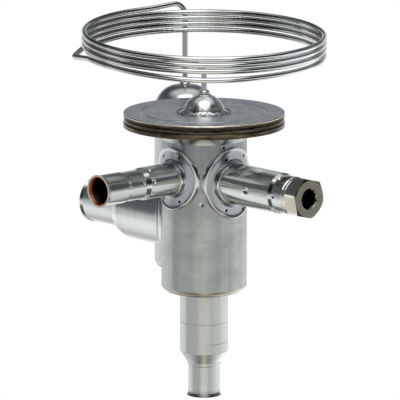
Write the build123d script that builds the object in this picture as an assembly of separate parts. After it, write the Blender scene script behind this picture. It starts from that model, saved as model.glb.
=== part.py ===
"""A hermetic expansion valve in stainless steel, with its bulb and capillary.

Millimetres. +Z runs up the valve's axis, and the origin is the centre of the
inlet tube's mouth. The adjuster points along +X, the equalizer tube along -Y
and the outlet tube along -X. A place along a side tube is its distance from
the valve's axis.
"""
from build123d import *
from math import acos, ceil, cos, degrees, hypot, pi, radians, sin, tan
import os

# Clearances
FIT = 0.05            # radial gap of a piece that is pushed into another
RUNNING = 0.06        # radial gap of a shaft or thread that turns or slides
SEAT_GAP = 0.05       # gap between two faces that meet across a joint

# Body
BODY_R = 19.7
BODY_WALL = 2.2
BODY_BOTTOM = 49.3
BODY_TOP = 120.8
BODY_FLOOR = 5.0
BODY_EDGE_FLAT_R = 14.3
BODY_EDGE_RISE = 2.8
BODY_PITS = ((-44.3, 93.0), (-15.1, 119.4))   # degrees about +Z and height

# Inlet tube, a 1/2 inch solder socket below a wide strainer chamber
INLET_BORE_R = 6.375
INLET_STOP_R = 5.7
INLET_SOCKET_TOP = 14.2
INLET_NECK_TOP = 15.9
INLET_CONE_TOP = 21.0
INLET_WIDE_R = 11.05
LINER_WALL = 0.35
SOCKET_STEEL = 0.45
WIDE_WALL = 1.0
FLARE = 0.65
FLARE_LENGTH = 1.5
NECK_BEAD = 0.45

# Outlet tube, a 3/4 inch solder socket on a wide root
OUTLET_Z = 81.3
OUTLET_END = 74.8
OUTLET_BORE_R = 9.56
OUTLET_STOP_R = 8.9
OUTLET_NECK_START = 53.0
OUTLET_SOCKET_START = 57.5
OUTLET_SHOULDER = 7.5
OUTLET_ROOT_R = 14.3
OUTLET_ROOT_WALL = 1.4
OUTLET_PORT_R = 10.2
OUTLET_SADDLE = (17.6, 0.775)  # half height, and half width as a share of its radius

# Equalizer tube, a 12 mm solder socket
EQUALIZER_Z = 104.4
EQUALIZER_END = 64.5
EQUALIZER_BORE_R = 6.04
EQUALIZER_SOCKET_START = 51.5
EQUALIZER_STEEL = 0.65
EQUALIZER_FLARE = 0.45
EQUALIZER_ROOT_R = 7.5
EQUALIZER_ROOT_END = 38.7
EQUALIZER_ROOT_WALL = 1.6
EQUALIZER_NECK = (41.0, 49.8)  # where the narrow part starts and ends
EQUALIZER_NECK_R = 6.8
EQUALIZER_NECK_BORE_R = 5.5
EQUALIZER_SADDLE = (14.6, 0.6366)
EQUALIZER_DIMPLES = 8
EQUALIZER_DIMPLES_AT = 37.3
EQUALIZER_DIMPLE_TURN = 15.0
EQUALIZER_MARK_AT = 42.6       # a single smaller dimple on the neck
EQUALIZER_MARK_TURN = 195.0

# Adjuster tube
ADJUSTER_Z = 102.6
ADJUSTER_R = 9.4
ADJUSTER_WALL = 1.4
ADJUSTER_END = 60.9
ADJUSTER_EDGE = 0.5
ADJUSTER_SWAGE = 0.65          # the end is rolled in by this much on the radius
ADJUSTER_SWAGE_FROM = 52.6
ADJUSTER_SWAGE_TO = 54.4
ADJUSTER_SADDLE = (16.6, 0.668)
ADJUSTER_DIMPLES = 6
ADJUSTER_DIMPLES_AT = 55.4
ADJUSTER_DIMPLE_TURN = -2.0
ADJUSTER_OVALS = 3
ADJUSTER_OVALS_AT = 38.3

# Saddle rings and the indents of the staking tools
SADDLE_THICK = 1.3
SADDLE_EDGE = 0.5
COLLAR_WALL = 1.3
COLLAR_RISE = 0.9
PIT_R = 0.45
PIT_DEPTH = 0.5
OVAL_BALL_R = 3.4
STAKE_BALL_R = 1.7
MARK_BALL_R = 1.0
MARK_DEPTH = 0.4
DIMPLE_DEPTH = 0.62

# Diaphragm head
HEAD_R = 37.1
HEAD_BOTTOM = BODY_TOP + 5.8
PLY = 2.1
TOP_PLY = 1.95
PLY_NOTCH = 0.42
RING_SETBACK = 0.35
SKIRT_R = HEAD_R - 10.9
SKIRT_WALL = 1.7
RING_BORE_R = HEAD_R - 7.1
DIAPHRAGM = 0.25
DIAPHRAGM_FLAT_R = 12.0
DIAPHRAGM_WAVES = 4
DIAPHRAGM_WAVE = 0.3
CHARGE_DEPTH = 0.75
PRESSED_RING_R = HEAD_R - 8.6
PRESSED_RING_HALF = 1.0
PRESSED_RING_DEPTH = 0.25
HEAD_EDGE = 0.3

# Dome on the head
DOME_R = 9.6
DOME_FOOT_R = 12.2
DOME_RISE = 8.6
DOME_WALL = 1.1

# Capillary and bulb
CAPILLARY_R = 1.25
COIL_R = 54.9
COIL_PITCH = 2.75
COIL_TURNS = 3
COIL_START_Z = BODY_TOP + 41.0
COIL_START_ANGLE = 219.0       # degrees about +Z, where the lowest whole turn starts
COIL_RIGHT_ANGLE = 47.7
COIL_LEAN_ANGLES = (2.6, 0.5)  # degrees that the coil leans down at the front and the right
LOOSE_TURN_STEP_ANGLE = 25.0
LOOSE_TURN = (                 # radius, degrees about +Z, height below the coil's start
    (26.0, 606.0, 4.5),
    (42.0, 600.0, 3.5),
    (52.5, 585.0, 3.0),
    (COIL_R, 560.0, 2.75),
    (COIL_R, 498.0, 2.25),
    (COIL_R, 408.0, 2.0),
    (COIL_R, 357.0, 1.8),
    (COIL_R + 0.4, 318.0, 2.0),
    (COIL_R, 273.0, 0.6),
    (COIL_R, 252.0, 0.7),
)
KINK = (60.0, 236.0, 1.9)      # the sharp bend beside the coil, in the same measures
KINK_BEND_R = 3.0
LEG_BEND_R = 6.0
LEG_LEAD = 6.0
DOME_RISER_TOP = BODY_TOP + 34.5
BULB_LEG_ANGLE = 98.5          # degrees from the coil's right to the end of the bulb's leg
BULB_OUTSIDE = 5.6             # how far the bulb's riser stands outside the coil's line
BULB_LEG_RISE = 1.0
BULB_R = 14.4
BULB_WALL = 0.9
BULB_TOP = BODY_TOP + 14.2
BULB_LENGTH = 87.4
BULB_DOME = 11.0
BULB_CORNER = 4.0
BEAD_R = 2.5
BEAD_RISE = 1.7

# Orifice, cone and push rod
ROD_R = 1.6
ORIFICE_R = 3.5
SEAT_R = 8.0
SEAT_FLANGE_R = 10.5
SEAT_FLANGE = 2.0
SEAT_NOSE = 2.0
SEAT_CHAMFER = 1.2
CONE_R = 5.0
CONE_LENGTH = 5.6
CONE_FLOOR = 1.5               # left below the rod's blind hole
CONE_CHAMFER = 0.8
PAD_R = SKIRT_R - 5.7
PAD = 1.9
PAD_CHAMFER = 0.6
PAD_BOSS_R = 3.5
PAD_BOSS = 5.0

# Strainer in the inlet chamber
STRAINER_TOP = 40.5
STRAINER_BOTTOM = 23.4
STRAINER_R = 8.0
STRAINER_RIM = 2.0
STRAINER_CAP = 1.2
STRAINER_CAP_LIP = 1.0
STRAINER_MESH_WALL = 0.4
STRAINER_RIBS = 4
STRAINER_RIB = (1.0, 1.6)
CLIP = 0.9
CLIP_WIDTH = 1.15
CLIP_SPLIT = 2.5

# Rod guide, which parts the two chambers
GUIDE_BOTTOM = 91.9
GUIDE_TOP = 94.9
GUIDE_LOWER_HUB_R = 5.0
GUIDE_LOWER_HUB = 6.0
GUIDE_HUB_R = 3.9
GUIDE_HUB_FLAT = 3.0
GUIDE_HUB_TOP = 99.6
ROD_SEAL_POCKET_R = 2.9
ROD_SEAL_SECTION = 0.6
ROD_SEAL_WASHER = 0.8

# Bevel drive, whose cones meet where the stem's axis crosses the valve's
PINION_TEETH = 10
CROWN_TEETH = 24
MODULE = 1.0
FACE_SHARE = 0.3               # tooth length as a share of the cone's length
ADDENDUM = 0.8
DEDENDUM = 1.0
TOOTH_SHARE = 0.4              # tooth thickness as a share of the pitch
TOOTH_ROOT = 0.25              # how far a tooth's root is sunk in its wheel
FLANK = 20.0
PINION_BACK = 2.0
CROWN_RIM = 1.0

# Spring and its seat
SPRING_R = 5.2
SPRING_WIRE_R = 0.95
SPRING_TURNS = 7
SEAT_THREAD_R = 7.35
SPRING_SEAT_BOTTOM = 96.9
SPRING_SEAT_HEIGHT = 5.0
SPRING_SEAT_FLOOR = 1.5

# Stem, gland and plug
STEM_R = 3.5
STEM_NOSE_R = 2.0
STEM_COLLAR_R = 4.6
STEM_COLLAR = 2.2
SQUARE = 5.0
SQUARE_START = 49.0
STEM_END = 55.0
STEM_NOSE_SEAT = 1.0
BUSH_START = 21.0
BUSH = 4.0
BUSH_VENTS = 3
BUSH_VENT_R = 1.2
INSERT_START = 36.0
GLAND_START = 40.0
GLAND_R = 5.3
PLUG_THREAD_START = 50.0
PLUG_THREAD_R = 5.95
PLUG_START = 51.2
PLUG_WASHER = 1.7
PLUG_WASHER_R = 8.5
PLUG_WASHER_EDGE = 0.3
HEX_AF = 17.0
HEX_LENGTH = 7.7
HEX_CHAMFER = 25.0             # degrees of the outer bevel
HEX_BACK_CHAMFER = 45.0
HEX_FACE_R = 8.4
HEX_TURN = -15.0               # degrees of a corner from the -Y side, downwards
SOCKET_AF = 8.0
SOCKET_DEPTH = 7.8
SOCKET_TURN = -38.0
SOCKET_BEVEL = 0.3             # how far the mouth's bevel goes past the corners
PLUG_HOLLOW_R = 4.0
PLUG_HOLLOW = 5.5
GLAND_NUT = 4.0
GLAND_NUT_SLOT = 1.6
SEAL_SECTION = 0.85

# Sizes worked out from those above
BODY_BORE_R = BODY_R - BODY_WALL
FLOOR_Z = BODY_BOTTOM + BODY_FLOOR
SADDLE_IN_R = BODY_R + FIT
SADDLE_OUT_R = SADDLE_IN_R + SADDLE_THICK
SOCKET_WALL = LINER_WALL + FIT + SOCKET_STEEL
ADJUSTER_BORE_R = ADJUSTER_R - ADJUSTER_WALL
RING_Z = HEAD_BOTTOM + PLY
DIAPHRAGM_Z = RING_Z + PLY
PLATE_Z = DIAPHRAGM_Z + DIAPHRAGM
HEAD_TOP = PLATE_Z + TOP_PLY
PAD_TOP = DIAPHRAGM_Z - DIAPHRAGM_WAVE - SEAT_GAP
PAD_BOTTOM = PAD_TOP - PAD
SEAT_BOTTOM = BODY_BOTTOM - SEAT_NOSE
CONE_TOP = SEAT_BOTTOM + SEAT_CHAMFER - SEAT_GAP
CONE_NOSE_R = ORIFICE_R - 0.1
CONE_BOTTOM = CONE_TOP - CONE_LENGTH
SPRING_FLOOR_Z = SPRING_SEAT_BOTTOM + SPRING_SEAT_FLOOR
PINION_R = MODULE * PINION_TEETH / 2
CROWN_R = MODULE * CROWN_TEETH / 2
CONE_LENGTH_OF_GEARS = hypot(CROWN_R, PINION_R)
CONE_SHRINK = 1 - FACE_SHARE
SWAGED_R = ADJUSTER_R - ADJUSTER_SWAGE
HEX_START = ADJUSTER_END + SEAT_GAP + PLUG_WASHER
HEX_CORNER_R = HEX_AF / 2 / cos(pi / 6)
PLUG_END = HEX_START + HEX_LENGTH
BULB_BOTTOM = BULB_TOP - BULB_LENGTH
LEVEL = (Align.CENTER, Align.CENTER, Align.MIN)

ADJUSTER = Plane((0, 0, ADJUSTER_Z), x_dir=(0, -1, 0), z_dir=(1, 0, 0))
EQUALIZER = Plane((0, 0, EQUALIZER_Z), x_dir=(-1, 0, 0), z_dir=(0, -1, 0))
OUTLET = Plane((0, 0, OUTLET_Z), x_dir=(0, 1, 0), z_dir=(-1, 0, 0))


def outline(points):
    """A closed outline in the XZ plane; three points in a list make an arc."""
    edges = []
    last = None
    for point in points:
        if isinstance(point, list):
            middle, end = ((r, 0, z) for r, z in point)
            edges.append(ThreePointArc(last, middle, end))
        else:
            end = (point[0], 0, point[1])
            if last is not None:
                edges.append(Line(last, end))
        last = end
    first = edges[0] @ 0
    if (first - Vector(*last)).length > FIT / 10:
        edges.append(Line(last, first))
    return make_face(edges)


def turned(*points):
    """A turned solid about Z, from (radius, height) points and arcs."""
    return revolve(outline(points), Axis.Z)


def ring(inner, outer, bottom, top):
    return turned((inner, bottom), (outer, bottom), (outer, top), (inner, top))


def rod(radius, bottom, top):
    return Pos(0, 0, bottom) * Cylinder(radius, top - bottom, align=LEVEL)


def o_ring(inner, section, middle):
    return Pos(0, 0, middle) * Torus(inner + section, section)


def prism(sides, across_flats, turn, bottom, top):
    """A bar with flats, its first corner turned from the X axis."""
    corner_r = across_flats / 2 / cos(pi / sides)
    face = RegularPolygon(corner_r, sides, rotation=turn)
    return Pos(0, 0, bottom) * extrude(face, top - bottom)


def indents(radius, count, along, ball_r, depth, turn=0.0):
    """Balls that press a ring of dimples into a tube about Z."""
    return [
        Rot(0, 0, turn + 360 * i / count) * Pos(radius - depth + ball_r, 0, along) * Sphere(ball_r)
        for i in range(count)
    ]


def coped(tube):
    """A side tube with its root cut to the body's round."""
    return tube - Pos(0, 0, OUTLET_Z) * Cylinder(SADDLE_IN_R, 2 * BODY_TOP)


# Body and its saddle rings


def valve_body():
    edge_r = (BODY_R + BODY_EDGE_FLAT_R) / 2 + 0.2 * (BODY_R - BODY_EDGE_FLAT_R)
    shell = turned(
        (SEAT_R + FIT, BODY_BOTTOM),
        (BODY_EDGE_FLAT_R, BODY_BOTTOM),
        [(edge_r, BODY_BOTTOM + 0.28 * BODY_EDGE_RISE), (BODY_R, BODY_BOTTOM + BODY_EDGE_RISE)],
        (BODY_R, BODY_TOP),
        (BODY_BORE_R, BODY_TOP),
        (BODY_BORE_R, FLOOR_Z),
        (SEAT_R + FIT, FLOOR_Z),
    )
    shell -= OUTLET * rod(OUTLET_PORT_R, 0, 2 * BODY_R)
    shell -= EQUALIZER * rod(EQUALIZER_ROOT_R - EQUALIZER_ROOT_WALL, 0, 2 * BODY_R)
    shell -= ADJUSTER * rod(ADJUSTER_BORE_R, 0, 2 * BODY_R)
    for turn, height in BODY_PITS:
        pit = Rot(0, 90, 0) * rod(PIT_R, BODY_R - PIT_DEPTH, 2 * BODY_R)
        shell -= Pos(0, 0, height) * Rot(0, 0, turn) * pit
    return shell


def saddle(plane, sizes, tube_r):
    """A ring bent round the body, with a low collar round the tube."""
    half_height = sizes[0]
    half_width = sizes[1] * SADDLE_OUT_R
    reach = 2 * BODY_R
    middle = Pos(0, 0, plane.origin.Z)
    skin = middle * (
        Cylinder(SADDLE_OUT_R, 3 * half_height) - Cylinder(SADDLE_IN_R, 3 * half_height)
    )
    plate = skin & plane * extrude(Ellipse(half_width, half_height), reach)
    rim = [e for e in plate.edges() if outer_rim(e, plane)]
    plate = chamfer(rim, SADDLE_EDGE)
    raised = middle * (
        Cylinder(SADDLE_OUT_R + COLLAR_RISE, 3 * half_height)
        - Cylinder(SADDLE_IN_R, 3 * half_height)
    )
    collar = raised & plane * rod(tube_r + COLLAR_WALL, 0, reach)
    body = plate + collar - plane * rod(tube_r + FIT, 0, reach)
    pit_r = (tube_r + COLLAR_WALL + half_width) / 2
    pits = [
        Rot(0, 0, 45 + 90 * i) * Pos(pit_r, 0, 0) * rod(PIT_R, 0, reach)
        for i in range(4)
    ]
    shallow = Pos(0, 0, plane.origin.Z) * Cylinder(SADDLE_OUT_R - PIT_DEPTH, 3 * half_height)
    for pit in pits:
        body -= plane * pit - shallow
    return body


def outer_rim(edge, plane):
    """Whether an edge of a saddle lies on its outer face."""
    point = edge @ 0.37
    return hypot(point.X, point.Y) > SADDLE_OUT_R - SADDLE_THICK / 2


def outlet_saddle():
    return saddle(OUTLET, OUTLET_SADDLE, OUTLET_ROOT_R)


def equalizer_saddle():
    return saddle(EQUALIZER, EQUALIZER_SADDLE, EQUALIZER_ROOT_R)


def adjuster_saddle():
    return saddle(ADJUSTER, ADJUSTER_SADDLE, ADJUSTER_R)


# Solder tubes and their copper linings


def socket_r(bore_r):
    """The steel's outer radius round a lined solder socket."""
    return bore_r + SOCKET_WALL


def liner(bore_r, inner_end, mouth, flare=FLARE):
    """A copper lining whose lip turns out with the tube's flare."""
    out = bore_r + LINER_WALL
    way = 1 if mouth > inner_end else -1
    bend = mouth - way * FLARE_LENGTH
    return turned(
        (bore_r, inner_end),
        (out, inner_end),
        (out, bend),
        (out + flare, mouth),
        (bore_r + flare, mouth),
        (bore_r, bend),
    )


def inlet_tube():
    out = socket_r(INLET_BORE_R)
    inner = INLET_BORE_R + LINER_WALL + FIT
    chamber = INLET_WIDE_R - WIDE_WALL
    return turned(
        (inner + FLARE, 0),
        (out + FLARE, 0),
        (out, FLARE_LENGTH),
        (out, INLET_SOCKET_TOP),
        (out + NECK_BEAD, INLET_SOCKET_TOP + NECK_BEAD),
        (out + NECK_BEAD, INLET_NECK_TOP),
        (INLET_WIDE_R, INLET_CONE_TOP),
        (INLET_WIDE_R, BODY_BOTTOM),
        (chamber, BODY_BOTTOM),
        (chamber, INLET_CONE_TOP),
        (INLET_STOP_R, INLET_NECK_TOP),
        (INLET_STOP_R, INLET_SOCKET_TOP),
        (inner, INLET_SOCKET_TOP),
        (inner, FLARE_LENGTH),
    )


def inlet_liner():
    return liner(INLET_BORE_R, INLET_SOCKET_TOP, 0)


def outlet_tube():
    out = socket_r(OUTLET_BORE_R)
    inner = OUTLET_BORE_R + LINER_WALL + FIT
    root_bore = OUTLET_ROOT_R - OUTLET_ROOT_WALL
    shoulder = OUTLET_NECK_START - OUTLET_SHOULDER
    bulge_r = out + 0.78 * (OUTLET_ROOT_R - out)
    bulge_at = shoulder + 0.45 * OUTLET_SHOULDER
    tube = turned(
        (root_bore, 0),
        (OUTLET_ROOT_R, 0),
        (OUTLET_ROOT_R, shoulder),
        [(bulge_r, bulge_at), (out, OUTLET_NECK_START)],
        (out, OUTLET_END - FLARE_LENGTH),
        (out + FLARE, OUTLET_END),
        (inner + FLARE, OUTLET_END),
        (inner, OUTLET_END - FLARE_LENGTH),
        (inner, OUTLET_SOCKET_START),
        (OUTLET_STOP_R, OUTLET_SOCKET_START),
        (OUTLET_STOP_R, OUTLET_NECK_START),
        (root_bore, shoulder),
    )
    return coped(OUTLET * tube)


def outlet_liner():
    return OUTLET * liner(OUTLET_BORE_R, OUTLET_SOCKET_START, OUTLET_END)


def equalizer_tube():
    out = EQUALIZER_BORE_R + LINER_WALL + FIT + EQUALIZER_STEEL
    inner = EQUALIZER_BORE_R + LINER_WALL + FIT
    root_bore = EQUALIZER_ROOT_R - EQUALIZER_ROOT_WALL
    neck_start, neck_end = EQUALIZER_NECK
    tube = turned(
        (root_bore, 0),
        (EQUALIZER_ROOT_R, 0),
        (EQUALIZER_ROOT_R, EQUALIZER_ROOT_END),
        (EQUALIZER_NECK_R, neck_start),
        (EQUALIZER_NECK_R, neck_end),
        (out, EQUALIZER_SOCKET_START),
        (out, EQUALIZER_END - FLARE_LENGTH),
        (out + EQUALIZER_FLARE, EQUALIZER_END),
        (inner + EQUALIZER_FLARE, EQUALIZER_END),
        (inner, EQUALIZER_END - FLARE_LENGTH),
        (inner, EQUALIZER_SOCKET_START),
        (EQUALIZER_NECK_BORE_R, EQUALIZER_SOCKET_START),
        (EQUALIZER_NECK_BORE_R, neck_start),
        (root_bore, EQUALIZER_ROOT_END),
    )
    stakes = indents(
        EQUALIZER_ROOT_R, EQUALIZER_DIMPLES, EQUALIZER_DIMPLES_AT,
        STAKE_BALL_R, DIMPLE_DEPTH, EQUALIZER_DIMPLE_TURN,
    )
    mark = indents(
        EQUALIZER_NECK_R, 1, EQUALIZER_MARK_AT, MARK_BALL_R, MARK_DEPTH, EQUALIZER_MARK_TURN
    )
    for ball in stakes + mark:
        tube -= ball
    return coped(EQUALIZER * tube)


def equalizer_liner():
    return EQUALIZER * liner(
        EQUALIZER_BORE_R, EQUALIZER_SOCKET_START, EQUALIZER_END, EQUALIZER_FLARE
    )


def adjuster_tube():
    tube = turned(
        (ADJUSTER_BORE_R, 0),
        (ADJUSTER_R, 0),
        (ADJUSTER_R, ADJUSTER_SWAGE_FROM),
        (SWAGED_R, ADJUSTER_SWAGE_TO),
        (SWAGED_R, ADJUSTER_END - ADJUSTER_EDGE),
        (SWAGED_R - ADJUSTER_EDGE, ADJUSTER_END),
        (SWAGED_R - ADJUSTER_WALL, ADJUSTER_END),
        (SWAGED_R - ADJUSTER_WALL, ADJUSTER_SWAGE_TO),
        (ADJUSTER_BORE_R, ADJUSTER_SWAGE_FROM),
    )
    stakes = indents(
        SWAGED_R, ADJUSTER_DIMPLES, ADJUSTER_DIMPLES_AT,
        STAKE_BALL_R, DIMPLE_DEPTH, ADJUSTER_DIMPLE_TURN,
    )
    ovals = indents(
        ADJUSTER_R, ADJUSTER_OVALS, ADJUSTER_OVALS_AT,
        OVAL_BALL_R, DIMPLE_DEPTH, ADJUSTER_DIMPLE_TURN,
    )
    for ball in stakes + ovals:
        tube -= ball
    return coped(ADJUSTER * tube)


# Diaphragm head


def notched(inner, outer, bottom, top, low_notch, high_notch):
    """A flat ring whose rim is bevelled where it meets its neighbours."""
    points = [(inner, bottom)]
    if low_notch:
        points += [(outer - low_notch, bottom), (outer, bottom + low_notch)]
    else:
        points += [(outer, bottom)]
    if high_notch:
        points += [(outer, top - high_notch), (outer - high_notch, top)]
    else:
        points += [(outer, top)]
    return turned(*points, (inner, top))


def head_lower_housing():
    """The bottom ply and the flared skirt that stands on the body."""
    flare = HEAD_BOTTOM - BODY_TOP
    run = SKIRT_R - BODY_R
    inner_top = SKIRT_R - SKIRT_WALL
    return turned(
        (BODY_R, BODY_TOP),
        [(BODY_R + 0.26 * run, BODY_TOP + 0.66 * flare), (SKIRT_R, HEAD_BOTTOM)],
        (HEAD_R, HEAD_BOTTOM),
        (HEAD_R, RING_Z - PLY_NOTCH),
        (HEAD_R - PLY_NOTCH, RING_Z),
        (inner_top, RING_Z),
        [
            (BODY_BORE_R + 0.26 * (inner_top - BODY_BORE_R), BODY_TOP + 0.6 * (RING_Z - BODY_TOP)),
            (BODY_BORE_R, BODY_TOP),
        ],
    )


def head_clamp_ring():
    return notched(
        RING_BORE_R, HEAD_R - RING_SETBACK, RING_Z, DIAPHRAGM_Z, PLY_NOTCH, PLY_NOTCH
    )


def diaphragm():
    """A thin disc with round waves inside the clamped rim."""
    first = DIAPHRAGM_FLAT_R
    wave = (RING_BORE_R - first) / DIAPHRAGM_WAVES
    lower = []
    upper = []
    for i in range(2 * DIAPHRAGM_WAVES):
        start = first + wave * i / 2
        bulge = -DIAPHRAGM_WAVE if i % 2 == 0 else DIAPHRAGM_WAVE
        lower.append([(start + wave / 4, DIAPHRAGM_Z + bulge), (start + wave / 2, DIAPHRAGM_Z)])
        upper.append([(start + wave / 4, PLATE_Z + bulge), (start, PLATE_Z)])
    edge = HEAD_R - 2 * PLY_NOTCH - RING_SETBACK
    points = [(0, DIAPHRAGM_Z), (first, DIAPHRAGM_Z)] + lower + [(edge, DIAPHRAGM_Z), (edge, PLATE_Z)]
    points += [(RING_BORE_R, PLATE_Z)] + upper[::-1] + [(0, PLATE_Z)]
    return turned(*points)


def head_top_plate():
    """The top ply, with the charge space below and a pressed ring above."""
    ceiling = PLATE_Z + CHARGE_DEPTH
    return turned(
        (CAPILLARY_R + FIT, ceiling),
        (RING_BORE_R - 1, ceiling),
        (RING_BORE_R, PLATE_Z),
        (HEAD_R - PLY_NOTCH, PLATE_Z),
        (HEAD_R, PLATE_Z + PLY_NOTCH),
        (HEAD_R, HEAD_TOP - HEAD_EDGE),
        (HEAD_R - HEAD_EDGE, HEAD_TOP),
        (PRESSED_RING_R + PRESSED_RING_HALF, HEAD_TOP),
        [
            (PRESSED_RING_R, HEAD_TOP - PRESSED_RING_DEPTH),
            (PRESSED_RING_R - PRESSED_RING_HALF, HEAD_TOP),
        ],
        (CAPILLARY_R + FIT, HEAD_TOP),
    )


def capillary_dome():
    """A drawn bell with a flared foot and a hole for the capillary."""
    top = HEAD_TOP + DOME_RISE
    hole = CAPILLARY_R + FIT
    inner_r = DOME_R - DOME_WALL
    return turned(
        (inner_r, HEAD_TOP),
        (DOME_FOOT_R, HEAD_TOP),
        (DOME_FOOT_R, HEAD_TOP + 0.15),
        [(DOME_R + 0.6, HEAD_TOP + 0.55), (DOME_R - 0.2, HEAD_TOP + 0.17 * DOME_RISE)],
        [(0.7 * DOME_R, HEAD_TOP + 0.66 * DOME_RISE), (0.34 * DOME_R, top - 0.09 * DOME_RISE)],
        (hole + 0.8, top),
        (hole, top),
        (hole, top - DOME_WALL),
        [(0.56 * inner_r, HEAD_TOP + 0.62 * DOME_RISE), (inner_r, HEAD_TOP)],
    )


def bead(z):
    """A solder bead round the capillary."""
    hole = CAPILLARY_R + FIT
    return turned(
        (hole, z),
        (BEAD_R, z),
        [(BEAD_R + 0.1, z + 0.45 * BEAD_RISE), (hole + 0.25, z + BEAD_RISE)],
        (hole, z + BEAD_RISE),
    )


def dome_joint():
    return bead(HEAD_TOP + DOME_RISE)


# Capillary and bulb


def leaned(shape):
    """A piece of the level coil, leaned as the real coil hangs."""
    middle = Pos(0, 0, COIL_START_Z)
    side = Rot(0, 0, COIL_RIGHT_ANGLE)
    tilt = Rot(*COIL_LEAN_ANGLES, 0)
    return middle * side * tilt * side.inverse() * middle.inverse() * shape


def beside_coil(radius, angle, drop):
    """A point of the leaned coil, from its place on the level one."""
    east, north = radius * cos(radians(angle)), radius * sin(radians(angle))
    return leaned(Vertex(east, north, COIL_START_Z - drop)).center()


def coil_line():
    """The whole turns, wound clockwise as they rise, up to the bulb's leg."""
    leave = degrees(acos(COIL_R / (COIL_R + BULB_OUTSIDE)))
    extra = (COIL_START_ANGLE - COIL_RIGHT_ANGLE - BULB_LEG_ANGLE - leave) / 360
    helix = Helix(COIL_PITCH, COIL_PITCH * (COIL_TURNS + extra), COIL_R, lefthand=True)
    return leaned(Pos(0, 0, COIL_START_Z) * Rot(0, 0, COIL_START_ANGLE) * helix)


def loose_line(start):
    """The loose lowest turn, which comes from the start in the coil's middle."""
    points = []
    for here, after in zip(LOOSE_TURN, LOOSE_TURN[1:]):
        steps = ceil((here[1] - after[1]) / LOOSE_TURN_STEP_ANGLE)
        for i in range(steps):
            points.append(beside_coil(*(a + (b - a) * i / steps for a, b in zip(here, after))))
    points.append(beside_coil(*LOOSE_TURN[-1]))
    angle = radians(LOOSE_TURN[-1][1])
    tangents = [(points[0] - start).normalized(), Vector(sin(angle), -cos(angle), 0)]
    return Spline(*points, tangents=tangents, tangent_scalars=[1, 1])


def capillary_lines():
    """The capillary's centre line, from the dome to the bulb."""
    riser_foot = Vector(0, 0, HEAD_TOP)
    riser_top = Vector(0, 0, DOME_RISER_TOP)
    coil = coil_line()
    loose = loose_line(riser_top)
    dome_leg = FilletPolyline(riser_foot, riser_top, loose @ 0, radius=LEG_BEND_R)
    corner = beside_coil(*KINK)
    kink = FilletPolyline(
        loose @ 1,
        loose @ 1 + loose % 1 * LEG_LEAD,
        corner,
        coil @ 0 - coil % 0 * LEG_LEAD,
        coil @ 0,
        radius=[LEG_LEAD, KINK_BEND_R, LEG_LEAD],
    )
    reach = (COIL_R + BULB_OUTSIDE) * sin(acos(COIL_R / (COIL_R + BULB_OUTSIDE)))
    over = coil @ 1 + coil % 1 * reach + Vector(0, 0, BULB_LEG_RISE)
    bulb_leg = FilletPolyline(
        coil @ 1,
        coil @ 1 + coil % 1 * LEG_LEAD,
        over,
        Vector(over.X, over.Y, BULB_TOP - BULB_WALL),
        radius=[COIL_R, LEG_BEND_R],
    )
    return [dome_leg, loose, kink, coil, bulb_leg]


def bulb_place():
    """Where the bulb hangs below its leg."""
    foot = capillary_lines()[-1] @ 1
    return Pos(foot.X, foot.Y, 0)


def capillary():
    """The capillary as one bent wire, closed at both ends in its solder."""
    pieces = []
    for line in capillary_lines():
        section = Plane(line @ 0, z_dir=line % 0) * Circle(CAPILLARY_R)
        pieces.append(sweep(section, path=Wire(line.edges())))
    whole = pieces[0]
    for piece in pieces[1:]:
        whole += piece
    return whole


def bulb():
    shoulder = BULB_TOP - BULB_DOME
    inner_r = BULB_R - BULB_WALL
    hole = CAPILLARY_R + FIT
    low = 0.3 * BULB_CORNER
    return bulb_place() * turned(
        (0, BULB_BOTTOM),
        (BULB_R - BULB_CORNER, BULB_BOTTOM),
        [(BULB_R - low, BULB_BOTTOM + low), (BULB_R, BULB_BOTTOM + BULB_CORNER)],
        (BULB_R, shoulder),
        [(0.76 * BULB_R, shoulder + 0.72 * BULB_DOME), (hole, BULB_TOP)],
        (hole, BULB_TOP - BULB_WALL),
        [(0.76 * inner_r, shoulder + 0.7 * (BULB_DOME - BULB_WALL)), (inner_r, shoulder)],
        (inner_r, BULB_BOTTOM + BULB_CORNER),
        (0, BULB_BOTTOM + BULB_CORNER),
    )


def bulb_joint():
    return bulb_place() * bead(BULB_TOP)


# Orifice, cone, rod and pad


def orifice_seat():
    """The pressed-in seat, with its cone facing the inlet."""
    return turned(
        (ORIFICE_R + SEAT_CHAMFER, SEAT_BOTTOM),
        (SEAT_R, SEAT_BOTTOM),
        (SEAT_R, FLOOR_Z),
        (SEAT_FLANGE_R, FLOOR_Z),
        (SEAT_FLANGE_R, FLOOR_Z + SEAT_FLANGE),
        (ORIFICE_R, FLOOR_Z + SEAT_FLANGE),
        (ORIFICE_R, SEAT_BOTTOM + SEAT_CHAMFER),
    )


def valve_cone():
    """The cone below the seat, bored for the rod."""
    land = CONE_TOP - (CONE_R - CONE_NOSE_R)
    blind = CONE_BOTTOM + CONE_FLOOR
    return turned(
        (0, CONE_BOTTOM),
        (CONE_R - CONE_CHAMFER, CONE_BOTTOM),
        (CONE_R, CONE_BOTTOM + CONE_CHAMFER),
        (CONE_R, land),
        (CONE_NOSE_R, CONE_TOP),
        (ROD_R + FIT, CONE_TOP),
        (ROD_R + FIT, blind),
        (0, blind),
    )


def push_rod():
    return rod(ROD_R, CONE_BOTTOM + CONE_FLOOR, PAD_BOTTOM + PAD / 2)


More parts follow.
